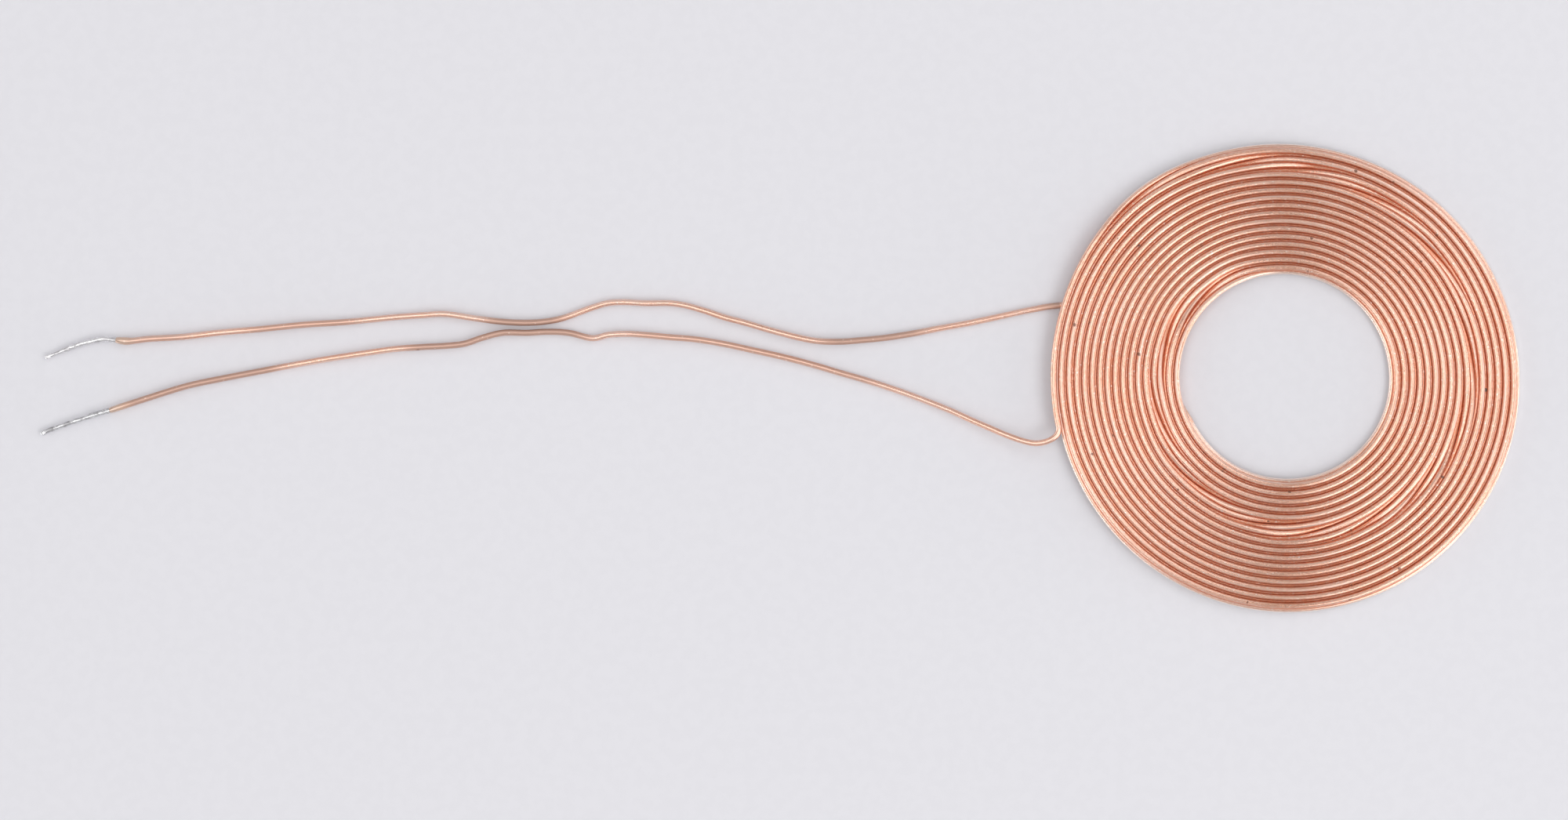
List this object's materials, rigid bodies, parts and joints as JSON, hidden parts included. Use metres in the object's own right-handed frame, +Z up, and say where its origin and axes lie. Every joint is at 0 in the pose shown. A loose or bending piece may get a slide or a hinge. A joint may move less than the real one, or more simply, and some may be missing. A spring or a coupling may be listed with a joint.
{
  "type": "flat spiral coil",
  "caption": "Flat spiral pancake coil of enamelled copper wire with a round open centre and free leads that end in tinned tips.",
  "frame": {"origin": "on the surface that the coil lies on, below the middle of its winding", "axes": "+Z up along the winding's axis, apart from its small lean; the leads run towards -X"},
  "size_m": [0.1363, 0.043, 0.0017],
  "materials": {
    "enamelled_copper": "bare-looking copper under clear enamel, satin to glossy",
    "tinned_copper": "dipped tin, bright and a little lumpy"
  },
  "bodies": {
    "root": {"winding": "enamelled_copper", "start_run": "enamelled_copper", "start_lead": "enamelled_copper", "start_tip": "tinned_copper", "end_lead": "enamelled_copper", "end_tip": "tinned_copper"}
  },
  "joints": []
}
